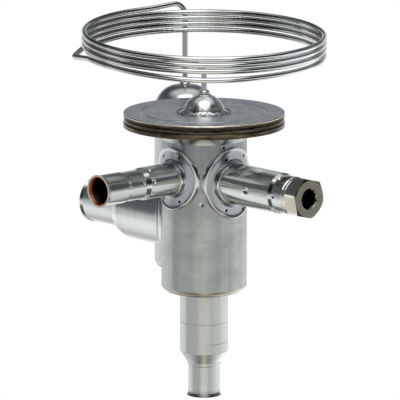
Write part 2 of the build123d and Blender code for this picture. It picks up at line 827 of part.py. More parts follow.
def pressure_pad():
    """The disc that backs the diaphragm, with a boss inside the spring."""
    blind = PAD_BOTTOM + PAD / 2
    return turned(
        (ROD_R + FIT, PAD_BOTTOM - PAD_BOSS),
        (PAD_BOSS_R, PAD_BOTTOM - PAD_BOSS),
        (PAD_BOSS_R, PAD_BOTTOM),
        (PAD_R, PAD_BOTTOM),
        (PAD_R, PAD_TOP - PAD_CHAMFER),
        (PAD_R - PAD_CHAMFER, PAD_TOP),
        (0, PAD_TOP),
        (0, blind),
        (ROD_R + FIT, blind),
    )


# Strainer


def strainer_frame():
    """A rim, ribs and an end cap that carry the mesh."""
    chamber = INLET_WIDE_R - WIDE_WALL
    rim_r = chamber - FIT
    inner = STRAINER_R - STRAINER_MESH_WALL - FIT
    frame = ring(inner, rim_r, STRAINER_TOP - STRAINER_RIM, STRAINER_TOP)
    frame += rod(STRAINER_R + STRAINER_CAP_LIP, STRAINER_BOTTOM, STRAINER_BOTTOM + STRAINER_CAP)
    deep, wide = STRAINER_RIB
    low = STRAINER_BOTTOM + STRAINER_CAP / 2
    high = STRAINER_TOP - STRAINER_RIM / 2
    rib = Box(deep, wide, high - low, align=(Align.MIN, Align.CENTER, Align.MIN))
    for i in range(STRAINER_RIBS):
        frame += Rot(0, 0, 360 * i / STRAINER_RIBS) * Pos(STRAINER_R + FIT, 0, low) * rib
    return frame


def strainer_mesh():
    """The mesh as a thin sleeve between the rim and the cap."""
    return ring(
        STRAINER_R - STRAINER_MESH_WALL,
        STRAINER_R,
        STRAINER_BOTTOM + STRAINER_CAP,
        STRAINER_TOP - STRAINER_RIM,
    )


def strainer_clip():
    """The split ring that holds the strainer up in its chamber."""
    chamber = INLET_WIDE_R - WIDE_WALL
    outer = chamber - FIT
    clip = ring(outer - CLIP_WIDTH, outer, STRAINER_TOP, STRAINER_TOP + CLIP)
    return clip - Pos(chamber, 0, STRAINER_TOP) * Box(4 * CLIP_WIDTH, CLIP_SPLIT, 4 * CLIP)


# Rod guide and its seal


def rod_guide():
    """The wall between the chambers, with a keyed hub for the spring seat."""
    disc = turned(
        (ROD_R + RUNNING, GUIDE_BOTTOM - GUIDE_LOWER_HUB),
        (GUIDE_LOWER_HUB_R, GUIDE_BOTTOM - GUIDE_LOWER_HUB),
        (GUIDE_LOWER_HUB_R, GUIDE_BOTTOM),
        (BODY_BORE_R - FIT, GUIDE_BOTTOM),
        (BODY_BORE_R - FIT, GUIDE_TOP),
        (ROD_R + RUNNING, GUIDE_TOP),
    )
    hub = rod(GUIDE_HUB_R, GUIDE_TOP, GUIDE_HUB_TOP)
    flats = Box(4 * GUIDE_HUB_R, 2 * GUIDE_HUB_FLAT, 4 * GUIDE_HUB_R)
    hub &= Pos(0, 0, GUIDE_HUB_TOP) * flats
    hub -= rod(ROD_R + RUNNING, GUIDE_BOTTOM, GUIDE_HUB_TOP)
    pocket = 2 * (ROD_SEAL_SECTION + FIT) + ROD_SEAL_WASHER
    return disc + hub - rod(ROD_SEAL_POCKET_R, GUIDE_HUB_TOP - pocket, GUIDE_HUB_TOP)


def rod_seal():
    middle = GUIDE_HUB_TOP - ROD_SEAL_WASHER - ROD_SEAL_SECTION - FIT
    return o_ring(ROD_R + FIT, ROD_SEAL_SECTION, middle)


def seal_washer():
    return ring(
        ROD_R + RUNNING, ROD_SEAL_POCKET_R - FIT, GUIDE_HUB_TOP - ROD_SEAL_WASHER, GUIDE_HUB_TOP
    )


# Bevel drive


def bevel_tooth(radius, axial, up_r, up_z):
    """A tooth at angle 0 whose edges all run to the cones' apex at the origin.

    radius and axial place the pitch line's outer end, and (up_r, up_z) points
    square to it, out of the gear.
    """
    half = TOOTH_SHARE * pi * MODULE / 2
    slope = tan(radians(FLANK))
    depth = DEDENDUM + TOOTH_ROOT
    corners = []
    for height, side in ((-depth, -1), (ADDENDUM, -1), (ADDENDUM, 1), (-depth, 1)):
        width = half - slope * height
        corners.append(Vector(radius + up_r * height, side * width, axial + up_z * height))
    outer = Face(Wire.make_polygon(corners))
    inner = Face(Wire.make_polygon([c * CONE_SHRINK for c in corners]))
    return Solid.make_loft([outer.outer_wire(), inner.outer_wire()], ruled=True)


def crown_wheel():
    """The level bevel gear, threaded inside for the spring seat."""
    up_r = PINION_R / CONE_LENGTH_OF_GEARS
    up_z = CROWN_R / CONE_LENGTH_OF_GEARS
    root = (CROWN_R - DEDENDUM * up_r, -PINION_R - DEDENDUM * up_z)
    bore = SEAT_THREAD_R + RUNNING
    slope = root[1] / root[0]
    base = GUIDE_TOP + SEAT_GAP - ADJUSTER_Z
    wheel = turned(
        (bore, base),
        (CROWN_R + CROWN_RIM, base),
        (CROWN_R + CROWN_RIM, root[1] - CROWN_RIM / 2),
        root,
        (bore, bore * slope),
    )
    for i in range(CROWN_TEETH):
        tooth = bevel_tooth(CROWN_R, -PINION_R, up_r, up_z)
        wheel += Rot(0, 0, 360 * (i + 0.5) / CROWN_TEETH) * tooth
    return Pos(0, 0, ADJUSTER_Z) * wheel


def bevel_pinion():
    """The small bevel gear on the stem's nose, with a tooth straight down."""
    up_r = CROWN_R / CONE_LENGTH_OF_GEARS
    up_z = -PINION_R / CONE_LENGTH_OF_GEARS
    root = (PINION_R - DEDENDUM * up_r, CROWN_R - DEDENDUM * up_z)
    nose = (root[0] * CONE_SHRINK, root[1] * CONE_SHRINK)
    back = root[1] + PINION_BACK
    pinion = turned((STEM_NOSE_R, nose[1]), nose, root, (root[0], back), (STEM_NOSE_R, back))
    for i in range(PINION_TEETH):
        tooth = bevel_tooth(PINION_R, CROWN_R, up_r, up_z)
        pinion += Rot(0, 0, -90 + 360 * i / PINION_TEETH) * tooth
    return ADJUSTER * (pinion - rod(STEM_NOSE_R + FIT, 0, 2 * back))


def spring_seat():
    """The threaded cup that the crown wheel lifts and lowers."""
    bottom = SPRING_SEAT_BOTTOM
    cup = rod(SEAT_THREAD_R, bottom, bottom + SPRING_SEAT_HEIGHT)
    cup -= rod(SPRING_R + SPRING_WIRE_R + 4 * FIT, SPRING_FLOOR_Z, bottom + SPRING_SEAT_HEIGHT)
    key = rod(GUIDE_HUB_R + RUNNING, bottom, SPRING_FLOOR_Z)
    flats = Box(4 * GUIDE_HUB_R, 2 * (GUIDE_HUB_FLAT + RUNNING), 4 * GUIDE_HUB_R)
    key &= Pos(0, 0, bottom) * flats
    return cup - key


def superheat_spring():
    """The coil spring between its seat and the pad."""
    low = SPRING_FLOOR_Z + SPRING_WIRE_R + SEAT_GAP
    high = PAD_BOTTOM - SPRING_WIRE_R - SEAT_GAP
    pitch = (high - low) / SPRING_TURNS
    line = Helix(pitch, high - low, SPRING_R)
    section = Plane(line @ 0, z_dir=line % 0) * Circle(SPRING_WIRE_R)
    return Pos(0, 0, low) * sweep(section, path=Wire(line.edges()), is_frenet=True)


# Stem, its bearings and the plug


def adjusting_stem():
    """The stem, from the pinion's seat to the square for the key."""
    pinion_back = CROWN_R + DEDENDUM * PINION_R / CONE_LENGTH_OF_GEARS + PINION_BACK
    nose = CROWN_R * CONE_SHRINK + STEM_NOSE_SEAT
    stem = rod(STEM_NOSE_R, nose, pinion_back) + rod(STEM_R, pinion_back, SQUARE_START)
    stem += rod(STEM_COLLAR_R, INSERT_START - SEAT_GAP - STEM_COLLAR, INSERT_START - SEAT_GAP)
    return ADJUSTER * (stem + prism(4, SQUARE, 45, SQUARE_START, STEM_END))


def stem_bush():
    """The inner bearing, vented so that the tube shares the chamber's pressure."""
    bush = ring(STEM_R + RUNNING, ADJUSTER_BORE_R - FIT, BUSH_START, BUSH_START + BUSH)
    vent_at = (STEM_R + ADJUSTER_BORE_R) / 2
    vent = Pos(vent_at, 0, 0) * rod(BUSH_VENT_R, 0, 2 * BUSH_START)
    for i in range(BUSH_VENTS):
        bush -= Rot(0, 0, 360 * i / BUSH_VENTS) * vent
    return ADJUSTER * bush


def adjuster_insert():
    """The bush staked and rolled into the tube's end, threaded for gland and plug."""
    wide = ADJUSTER_BORE_R - FIT
    narrow = SWAGED_R - ADJUSTER_WALL - FIT
    insert = turned(
        (STEM_R + RUNNING, INSERT_START),
        (wide, INSERT_START),
        (wide, ADJUSTER_SWAGE_FROM - FIT),
        (narrow, ADJUSTER_SWAGE_TO - FIT),
        (narrow, ADJUSTER_END),
        (PLUG_THREAD_R + RUNNING, ADJUSTER_END),
        (PLUG_THREAD_R + RUNNING, PLUG_THREAD_START),
        (GLAND_R, PLUG_THREAD_START),
        (GLAND_R, GLAND_START),
        (STEM_R + RUNNING, GLAND_START),
    )
    return ADJUSTER * insert


def stem_seal():
    return ADJUSTER * o_ring(STEM_R + FIT, SEAL_SECTION, GLAND_START + SEAL_SECTION + FIT)


def gland_nut():
    """The slotted nut that holds the stem's seal in its pocket."""
    start = GLAND_START + 2 * (SEAL_SECTION + FIT)
    nut = ring(STEM_R + RUNNING, GLAND_R - FIT, start, start + GLAND_NUT)
    slot = Pos(0, 0, start + GLAND_NUT) * Box(4 * GLAND_R, GLAND_NUT_SLOT, GLAND_NUT_SLOT)
    return ADJUSTER * (nut - slot)


def plug_seal_ring():
    start = ADJUSTER_END + SEAT_GAP
    end = start + PLUG_WASHER - FIT
    return ADJUSTER * turned(
        (PLUG_THREAD_R + 2 * RUNNING, start),
        (PLUG_WASHER_R - PLUG_WASHER_EDGE, start),
        (PLUG_WASHER_R, start + PLUG_WASHER_EDGE),
        (PLUG_WASHER_R, end - PLUG_WASHER_EDGE),
        (PLUG_WASHER_R - PLUG_WASHER_EDGE, end),
        (PLUG_THREAD_R + 2 * RUNNING, end),
    )


def hex_plug():
    """The screwed plug, with flats outside and a hexagon socket."""
    spread = HEX_CORNER_R - HEX_FACE_R
    head = prism(6, HEX_AF, HEX_TURN, HEX_START, PLUG_END)
    head &= turned(
        (0, HEX_START),
        (HEX_FACE_R, HEX_START),
        (HEX_CORNER_R, HEX_START + spread * tan(radians(HEX_BACK_CHAMFER))),
        (HEX_CORNER_R, PLUG_END - spread * tan(radians(HEX_CHAMFER))),
        (HEX_FACE_R, PLUG_END),
        (0, PLUG_END),
    )
    plug = head + rod(PLUG_THREAD_R, PLUG_START, HEX_START)
    plug -= rod(PLUG_HOLLOW_R, PLUG_START, PLUG_START + PLUG_HOLLOW)
    socket = prism(6, SOCKET_AF, SOCKET_TURN, PLUG_END - SOCKET_DEPTH, PLUG_END)
    mouth_r = SOCKET_AF / 2 / cos(pi / 6) + SOCKET_BEVEL
    bevel = turned((0, PLUG_END), (mouth_r, PLUG_END), (0, PLUG_END - mouth_r))
    return ADJUSTER * (plug - socket - bevel)


NODES = (
    valve_body, outlet_saddle, equalizer_saddle, adjuster_saddle,
    inlet_tube, inlet_liner, outlet_tube, outlet_liner,
    equalizer_tube, equalizer_liner, adjuster_tube,
    head_lower_housing, head_clamp_ring, diaphragm, head_top_plate,
    capillary_dome, dome_joint, capillary, bulb, bulb_joint,
    orifice_seat, valve_cone, push_rod, pressure_pad,
    strainer_frame, strainer_mesh, strainer_clip,
    rod_guide, rod_seal, seal_washer,
    crown_wheel, bevel_pinion, spring_seat, superheat_spring,
    adjusting_stem, stem_bush, adjuster_insert, stem_seal, gland_nut,
    plug_seal_ring, hex_plug,
)

os.makedirs("parts", exist_ok=True)
for make in NODES:
    export_step(make(), f"parts/{make.__name__}.step")
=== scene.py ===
"""A stainless expansion valve: its finishes, fine detail, light and camera.

+Z runs up the valve, the adjuster points along +X, the equalizer tube along -Y
and the outlet tube along -X. Blender works in metres. The valve's own sizes are
written in millimetres and multiplied by MM.
"""
from math import cos, pi, radians, sin
from typing import NamedTuple

import bmesh
import bpy
from mathutils import Matrix, Vector


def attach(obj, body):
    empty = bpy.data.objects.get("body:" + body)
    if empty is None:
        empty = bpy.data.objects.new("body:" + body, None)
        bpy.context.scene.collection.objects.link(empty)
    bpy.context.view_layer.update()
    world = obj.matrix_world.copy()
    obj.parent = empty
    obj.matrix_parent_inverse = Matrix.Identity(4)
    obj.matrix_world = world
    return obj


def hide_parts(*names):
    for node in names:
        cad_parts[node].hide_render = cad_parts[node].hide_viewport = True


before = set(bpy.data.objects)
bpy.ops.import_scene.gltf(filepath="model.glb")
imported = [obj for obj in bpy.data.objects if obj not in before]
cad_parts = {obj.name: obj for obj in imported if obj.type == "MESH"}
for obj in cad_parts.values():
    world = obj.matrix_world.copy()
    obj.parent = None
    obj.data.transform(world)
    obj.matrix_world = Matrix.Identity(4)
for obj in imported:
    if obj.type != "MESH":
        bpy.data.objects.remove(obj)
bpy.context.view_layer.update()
MM = 0.001

# Sizes of the valve in millimetres. A level is a height on +Z.
BODY_R = 19.7
BODY_BOTTOM = 49.3
BODY_PITS = ((-44.3, 93.0), (-15.1, 119.4))  # degrees about +Z and level
OUTLET_LEVEL = 81.3
OUTLET_ROOT_R = 14.3
OUTLET_MOUTH = -74.8
EQUALIZER_LEVEL = 104.4
EQUALIZER_R = 7.5
EQUALIZER_MOUTH = -64.5
ADJUSTER_LEVEL = 102.6
ADJUSTER_R = 9.4
PLUG_END = 70.35
HEAD_R = 37.1
HEAD_BOTTOM = 126.6
HEAD_TOP = 132.85
DOME_FOOT_R = 12.2
HEAD_LEG = (0.0, 0.0, 0.0)
BULB_LEG = (-49.88, 33.4, 0.0)


# Nodes and finishes


class Nodes:
    """Adds nodes to one tree and wires them."""

    def __init__(self, tree):
        self.tree = tree

    def add(self, kind, inputs=(), **settings):
        node = self.tree.nodes.new(kind)
        for key, value in settings.items():
            setattr(node, key, value)
        for socket, value in dict(inputs).items():
            self.put(node.inputs[socket], value)
        return node

    def put(self, socket, value):
        if isinstance(value, bpy.types.NodeSocket):
            self.tree.links.new(value, socket)
        else:
            socket.default_value = value

    def math(self, operation, first, second, third=0.0):
        node = self.add("ShaderNodeMath", {0: first, 1: second, 2: third}, operation=operation)
        return node.outputs[0]

    def ramp(self, value, stops):
        """A ramp through (place, tone) stops, each tone a share or a colour."""
        node = self.add("ShaderNodeValToRGB", {"Fac": value})
        elements = node.color_ramp.elements
        while len(elements) < len(stops):
            elements.new(0.5)
        for element, (place, tone) in zip(elements, stops):
            element.position = place
            element.color = (*tone, 1.0) if isinstance(tone, tuple) else (tone, tone, tone, 1.0)
        return node.outputs["Color"]

    def mix(self, share, first, second, blend="MIX"):
        node = self.add("ShaderNodeMix", {"Factor": share}, data_type="RGBA", blend_type=blend)
        for socket, value in ((node.inputs[6], first), (node.inputs[7], second)):
            self.put(socket, (*value, 1.0) if isinstance(value, tuple) else value)
        return node.outputs[2]


class Finish(Nodes):
    """A finish whose pattern is read from the object's own place."""

    def __init__(self, name, metallic=1.0):
        self.material = bpy.data.materials.new(name)
        self.material.use_nodes = True
        super().__init__(self.material.node_tree)
        self.shader = self.tree.nodes["Principled BSDF"]
        self.shader.inputs["Metallic"].default_value = metallic
        self.place = self.add("ShaderNodeTexCoord").outputs["Object"]

    def mapped(self, scale, shift=(0, 0, 0)):
        inputs = {"Vector": self.place, "Scale": scale, "Location": shift}
        return self.add("ShaderNodeMapping", inputs).outputs["Vector"]

    def noise(self, scale, detail=2.0, rough=0.5, across=(1, 1, 1)):
        inputs = {"Vector": self.mapped(across), "Scale": scale, "Detail": detail, "Roughness": rough}
        return self.add("ShaderNodeTexNoise", inputs).outputs["Fac"]

    def between(self, length, low, high):
        """0 where a length is low and 1 where it is high."""
        inputs = {"Value": length, "From Min": low * MM, "From Max": high * MM}
        return self.add("ShaderNodeMapRange", inputs).outputs["Result"]

    def along(self, axis, low, high):
        """0 at the low place on an axis and 1 at the high one."""
        split = self.add("ShaderNodeSeparateXYZ", {0: self.place})
        return self.between(split.outputs[axis], low, high)

    def away(self, centre, low, high, scale=(1, 1, 1)):
        """0 at the low distance from a place and 1 at the high one."""
        shift = tuple(-place * share * MM for place, share in zip(centre, scale))
        node = self.add("ShaderNodeVectorMath", {0: self.mapped(scale, shift)}, operation="LENGTH")
        return self.between(node.outputs["Value"], low, high)

    def outwards(self, low, high, centre=(0, 0, 0)):
        """0 at the low distance from an upright axis and 1 at the high one."""
        return self.away(centre, low, high, (1, 1, 0))

    def base(self):
        """The colour that is wired in so far."""
        return self.shader.inputs["Base Color"].links[0].from_socket

    def colour(self, value):
        value = (*value, 1.0) if isinstance(value, tuple) else value
        self.put(self.shader.inputs["Base Color"], value)

    def tint(self, share, colour):
        self.colour(self.mix(share, self.base(), colour))

    def shade(self, tones):
        """Darkens or lightens the colour so far by a pattern of tones."""
        self.colour(self.mix(1.0, self.base(), tones, "MULTIPLY"))

    def roughness(self, value):
        self.put(self.shader.inputs["Roughness"], value)

    def brushed(self, share, axis):
        """Fine turning lines round an axis, which spread reflections along it."""
        tangent = self.add("ShaderNodeTangent", direction_type="RADIAL", axis=axis)
        self.put(self.shader.inputs["Tangent"], tangent.outputs["Tangent"])
        self.shader.inputs["Anisotropic"].default_value = share
        self.shader.inputs["Anisotropic Rotation"].default_value = 0.25  # of a turn

    def bump(self, height, depth):
        """Bumps as deep as a length in millimetres."""
        node = self.add("ShaderNodeBump", {"Distance": depth * MM, "Height": height})
        self.put(self.shader.inputs["Normal"], node.outputs["Normal"])


ACROSS = {"X": (1.0, 0.02, 0.02), "Y": (0.02, 1.0, 0.02), "Z": (0.02, 0.02, 1.0)}
CLOUD_SPREAD = 0.12  # how much the clouds change the roughness
LINE_SPREAD = 0.06   # how much the fine lines change it
GRAIN_SPREAD = 0.1   # how much the grain of copper, rubber and plastic changes it


def clouded(finish, colour, stain, scale):
    """Gives a finish its colour in faint clouds, and gives back the clouds."""
    cloud = finish.noise(scale, 4.0, 0.6)
    dark, light = (tuple(min(1.0, c * share) for c in colour) for share in (1 - stain, 1 + stain))
    finish.colour(finish.ramp(cloud, [(0.3, dark), (0.7, light)]))
    return cloud


def turned_metal(name, colour, rough, axis="Z", lines=900.0, depth=0.006, stain=0.08, brush=0.6):
    """Steel or brass turned round an axis, with fine lines and faint stains."""
    finish = Finish(name)
    cloud = clouded(finish, colour, stain, 70.0)
    fine = finish.noise(lines, 3.0, 0.6, ACROSS[axis])
    finish.shade(finish.ramp(fine, [(0.25, 1 - stain), (0.75, 1.0)]))
    spread = finish.math("MULTIPLY_ADD", cloud, CLOUD_SPREAD, rough - CLOUD_SPREAD / 2)
    finish.roughness(finish.math("MULTIPLY_ADD", fine, LINE_SPREAD, spread))
    finish.bump(fine, depth)
    finish.brushed(brush, axis)
    return finish


def plain_metal(name, colour, rough, grain=1500.0, depth=0.004, stain=0.06):
    """Rolled or drawn metal with a fine even grain."""
    finish = Finish(name)
    cloud = clouded(finish, colour, stain, 90.0)
    finish.roughness(finish.math("MULTIPLY_ADD", cloud, CLOUD_SPREAD, rough - CLOUD_SPREAD / 2))
    finish.bump(finish.noise(grain, 2.0, 0.5), depth)
    return finish


def moulded(name, dark, light, rough, grain, depth):
    """Rubber or plastic with a fine even grain."""
    finish = Finish(name, metallic=0.0)
    fine = finish.noise(grain, 2.0)
    finish.colour(finish.ramp(fine, [(0.2, dark), (0.8, light)]))
    finish.roughness(finish.math("MULTIPLY_ADD", fine, GRAIN_SPREAD, rough))
    finish.bump(fine, depth)
    return finish


STEEL = (0.55, 0.585, 0.57)
BRIGHT_STEEL = (0.58, 0.61, 0.595)
# Painted shade: the colour that the body takes in the head's shadow
SHADE_GREY_STEEL = (0.33, 0.355, 0.37)
BRASS = (0.72, 0.55, 0.28)
# The dark of the real weld scale, also used as painted shade inside pits
SCALE_AND_SHADE_DARK = (0.022, 0.017, 0.009)
SCALE_LIGHT = (0.17, 0.145, 0.095)
WELD_SPECKS = (800.0, 4.0, 0.75)  # the scale, detail and roughness of their noise

# Levels over which painted shade darkens the body up towards the head
BODY_SHADE_LEVELS = (82.0, 112.0)
BODY_WELD = (BODY_BOTTOM, 53.0)
BODY_SEAM = (BODY_BOTTOM, 50.6)
WELD_BROWN = (0.56, 0.52, 0.41)
SEAM_BROWN = (0.2, 0.17, 0.12)
# Colour, offset and reach of the painted highlight above each body pit, then the reach of the painted shade
# in it
PIT_HIGHLIGHT = (0.75, 0.78, 0.77)
PIT_HIGHLIGHT_SHIFT = 0.5
PIT_HIGHLIGHT_REACH = (0.5, 1.0)
PIT_SHADE_REACH = (0.55, 0.8)


def body_finish():
    """Satin steel, darkened towards the head by painted shade, with a weld's heat tint and seam at its foot.
    """
    finish = turned_metal("satin body steel", STEEL, 0.3, "Z", 700.0, 0.008)
    # Painted shade: the body darkens upwards into the head's shadow
    shaded_above = finish.along("Z", *BODY_SHADE_LEVELS)
    finish.tint(finish.ramp(shaded_above, [(0.0, 0.0), (0.7, 0.85), (1.0, 1.0)]), SHADE_GREY_STEEL)
    streaks = finish.noise(260.0, 3.0, 0.6, (1.0, 1.0, 0.03))
    finish.shade(finish.ramp(streaks, [(0.3, 0.86), (0.7, 1.0)]))
    stains = finish.noise(75.0, 6.0, 0.7, (1.0, 1.0, 1.6))
    finish.shade(finish.ramp(stains, [(0.36, 0.86), (0.5, 0.97), (0.62, 1.06)]))
    weld = finish.along("Z", *BODY_WELD)
    finish.tint(finish.ramp(weld, [(0.0, 0.9), (0.6, 0.8), (1.0, 0.0)]), WELD_BROWN)
    seam = finish.along("Z", *BODY_SEAM)
    finish.tint(finish.ramp(seam, [(0.0, 0.9), (0.4, 0.6), (0.8, 0.0)]), SEAM_BROWN)
    for angle, level in BODY_PITS:
        stake_pit(finish, radians(angle), level)
    return finish


def stake_pit(finish, turn, level):
    """A pit in the body's side, darkened by painted shade, with a painted highlight on its upper edge."""
    x, y = BODY_R * cos(turn), BODY_R * sin(turn)
    # Painted highlight: the pit's upper edge is lightened as if lit from above
    highlight = finish.away((x - PIT_HIGHLIGHT_SHIFT, y - PIT_HIGHLIGHT_SHIFT, level + PIT_HIGHLIGHT_SHIFT), *PIT_HIGHLIGHT_REACH)
    finish.tint(finish.ramp(highlight, [(0.0, 0.9), (1.0, 0.0)]), PIT_HIGHLIGHT)
    # Painted shade: the pit itself is darkened where shade falls in it
    pit = finish.away((x, y, level), *PIT_SHADE_REACH)
    finish.tint(finish.ramp(pit, [(0.0, 1.0), (1.0, 0.0)]), SCALE_AND_SHADE_DARK)


SCRIBED_LEVELS = (35.0, 25.6)
SCRIBED_REACH = 0.6
SCRIBED_GREY = (0.12, 0.13, 0.12)
INLET_LIP = (0.0, 3.0)
LIP_GREY = (0.16, 0.17, 0.16)


def inlet_finish():
    """Fine matte steel with two scribed lines and a dark lip."""
    finish = turned_metal("fine inlet steel", (0.74, 0.78, 0.745), 0.34, "Z", 1200.0)
    streaks = finish.noise(240.0, 3.0, 0.6, (1.0, 1.0, 0.04))
    finish.shade(finish.ramp(streaks, [(0.3, 0.86), (0.65, 1.0)]))
    broken = finish.ramp(finish.noise(55.0, 2.0), [(0.42, 0.0), (0.5, 1.0)])
    for level in SCRIBED_LEVELS:
        line = finish.along("Z", level - SCRIBED_REACH, level + SCRIBED_REACH)
        line = finish.ramp(line, [(0.3, 0.0), (0.5, 0.75), (0.7, 0.0)])
        finish.tint(finish.math("MULTIPLY", line, broken), SCRIBED_GREY)
    lip = finish.along("Z", *INLET_LIP)
    finish.tint(finish.ramp(lip, [(0.0, 0.85), (0.35, 0.6), (1.0, 0.0)]), LIP_GREY)
    return finish


def scale_on(finish, share):
    """The dark scale of the edge weld on the head's rim, over a share of a finish."""
    streaks = finish.noise(900.0, 3.0, 0.6, (0.15, 0.15, 1.0))
    finish.tint(share, finish.ramp(streaks, [(0.35, SCALE_AND_SHADE_DARK), (0.75, SCALE_LIGHT)]))


# How each set of scratches is stretched, and the level of noise above which it shows.
SCRATCHES = (((1.0, 0.06, 1.0), 0.68), ((0.1, 1.0, 1.0), 0.7))
SCRATCH_BRIGHT = (0.9, 0.93, 0.95)
PRESSED_RING = (26.9, 30.1)
# Painted highlight: the real pressed ring's ridges are lightened in patches
RING_HIGHLIGHT = (0.9, 0.92, 0.92)
# Painted highlight: a light streak on the plate in front of the dome, standing in for a reflection
PLATE_HIGHLIGHT_CENTRE = (15.5, -14.5, 0.0)
PLATE_HIGHLIGHT_REACH = (2.0, 14.0)
PLATE_HIGHLIGHT_BRIGHT = (0.95, 0.97, 1.0)
PLATE_EDGE = (132.3, 132.55)


def head_top_finish():
    """A matte scuffed plate, dark with scale below its polished edge, with a painted highlight in front of
    the dome and painted highlights on its pressed ring.
    """
    finish = plain_metal("matte head steel", (0.66, 0.70, 0.735), 0.36, stain=0.14)
    finish.shade(finish.ramp(finish.noise(240.0, 6.0, 0.7), [(0.35, 0.7), (0.58, 1.0)]))
    for across, level in SCRATCHES:
        scratch = finish.noise(420.0, 2.0, 0.5, across)
        finish.tint(finish.ramp(scratch, [(level, 0.0), (level + 0.03, 0.5)]), SCRATCH_BRIGHT)
    # Painted highlight on the pressed ring's two ridges, shown in patches
    ring = finish.outwards(*PRESSED_RING)
    ring = finish.ramp(ring, [(0.0, 0.0), (0.35, 0.6), (0.5, 0.0), (0.8, 0.35), (1.0, 0.0)])
    patchy = finish.ramp(finish.noise(60.0, 2.0), [(0.45, 0.0), (0.55, 1.0)])
    finish.tint(finish.math("MULTIPLY", ring, patchy), RING_HIGHLIGHT)
    # Painted highlight in front of the dome
    plate_highlight = finish.outwards(*PLATE_HIGHLIGHT_REACH, PLATE_HIGHLIGHT_CENTRE)
    finish.tint(finish.ramp(plate_highlight, [(0.0, 0.95), (1.0, 0.0)]), PLATE_HIGHLIGHT_BRIGHT)
    scale_on(finish, finish.ramp(finish.along("Z", *PLATE_EDGE), [(0.3, 1.0), (0.7, 0.0)]))
    return finish


SKIRT_FOOT = 121.0
# Painted shade: the skirt darkens at its foot, next to the body under the head
SKIRT_SHADE = (0.36, 0.385, 0.39)
HOUSING_RIM = (36.0, 36.6)
CLAMP_RING_RIM = (30.0, 36.0)


def skirt_finish():
    """The head's bottom plate: a bright skirt, darkened by painted shade at its foot beside the body, and a
    scaled rim.
    """
    finish = plain_metal("bright skirt steel", (0.60, 0.63, 0.635), 0.24)
    # Painted shade towards the skirt's foot
    foot = finish.along("Z", SKIRT_FOOT, HEAD_BOTTOM)
    finish.tint(finish.ramp(foot, [(0.0, 0.85), (0.5, 0.65), (0.85, 0.0)]), SKIRT_SHADE)
    scale_on(finish, finish.ramp(finish.outwards(*HOUSING_RIM), [(0.2, 0.0), (0.8, 1.0)]))
    return finish


def clamp_ring_finish():
    """Bright steel, dark with scale where it shows at the head's rim."""
    finish = plain_metal("scaled rim", BRIGHT_STEEL, 0.34)
    scale_on(finish, finish.ramp(finish.outwards(*CLAMP_RING_RIM), [(0.9, 0.0), (1.0, 1.0)]))
    return finish


SPECKLED_FOOT = (133.0, 138.5)
SPECK_GREY = (0.14, 0.14, 0.145)


def dome_finish():
    """Polished steel, speckled by the weld round its foot."""
    finish = plain_metal("polished dome steel", (0.66, 0.68, 0.67), 0.24)
    specks = finish.ramp(finish.noise(*WELD_SPECKS), [(0.48, 0.0), (0.56, 1.0)])
    foot = finish.ramp(finish.along("Z", *SPECKLED_FOOT), [(0.0, 1.0), (0.3, 0.75), (1.0, 0.0)])
    finish.tint(finish.math("MULTIPLY", specks, foot), SPECK_GREY)
    return finish


HEX_CORNERS = (9.15, 9.6)
# Lighter corners: wear together with painted highlights on the edges
CORNER_WEAR_AND_HIGHLIGHT = (0.82, 0.82, 0.76)
PLUG_FACE = (PLUG_END - 0.4, PLUG_END - 0.1)
# Painted shade: the end face is darkened
FACE_SHADE = (0.17, 0.165, 0.135)
KEY_SOCKET = (4.3, 4.8)
# Painted shade: the key socket is darkened inside
SOCKET_SHADE = (0.03, 0.028, 0.02)


def plug_finish():
    """Nickel plating, lightened at the corners by wear and painted edge highlights, darkened on the end by
    painted shade, and nearly black in the key socket by painted shade.
    """
    finish = plain_metal("nickel plug", (0.50, 0.49, 0.415), 0.15, stain=0.1)
    axis, square_to_it = (0, 0, ADJUSTER_LEVEL), (0, 1, 1)
    corners = finish.away(axis, *HEX_CORNERS, square_to_it)
    # Wear and painted edge highlights at the corners
    finish.tint(finish.ramp(corners, [(0.0, 0.0), (1.0, 0.85)]), CORNER_WEAR_AND_HIGHLIGHT)
    face = finish.along("X", *PLUG_FACE)
    # Painted shade on the end face
    finish.tint(finish.ramp(face, [(0.0, 0.0), (1.0, 0.95)]), FACE_SHADE)
    socket = finish.away(axis, *KEY_SOCKET, square_to_it)
    # Painted shade in the key socket
    finish.tint(finish.ramp(socket, [(0.0, 0.97), (1.0, 0.0)]), SOCKET_SHADE)
    return finish


LEG_REACH = (1.6, 3.2)
LEG_DARK = (0.27, 0.275, 0.28)


def capillary_finish():
    """Polished wire in brighter and darker lengths, darker on its two upright legs."""
    finish = plain_metal("polished capillary steel", (0.67, 0.70, 0.70), 0.1, depth=0.0015)
    lengths = finish.noise(28.0, 1.0, 0.5, (1.0, 1.0, 0.0))
    worn = [(0.38, (0.5, 0.49, 0.47)), (0.5, (1.0, 0.98, 0.94)), (0.6, (1.0, 1.0, 1.0))]
    finish.shade(finish.ramp(lengths, worn))
    for leg in (BULB_LEG, HEAD_LEG):
        reach = finish.outwards(*LEG_REACH, leg)
        finish.tint(finish.ramp(reach, [(0.0, 0.9), (1.0, 0.0)]), LEG_DARK)
    return finish


COPPER_DARK = (0.62, 0.25, 0.14)
COPPER_LIGHT = (0.95, 0.5, 0.32)
# Painted shade: the copper blackens deeper in each bore
COPPER_BORE_SHADE = (0.03, 0.012, 0.008)
# Painted highlight: a bright glint on the lower left inside the equalizer's mouth
COPPER_GLINT = (1.0, 0.68, 0.42)
SHADED_DEPTH = 8.0
EQUALIZER_SHADED_DEPTH = 6.5
GLINT_PLACE = (-4.4, -62.6, 100.2)
GLINT_REACH = (1.2, 3.8)


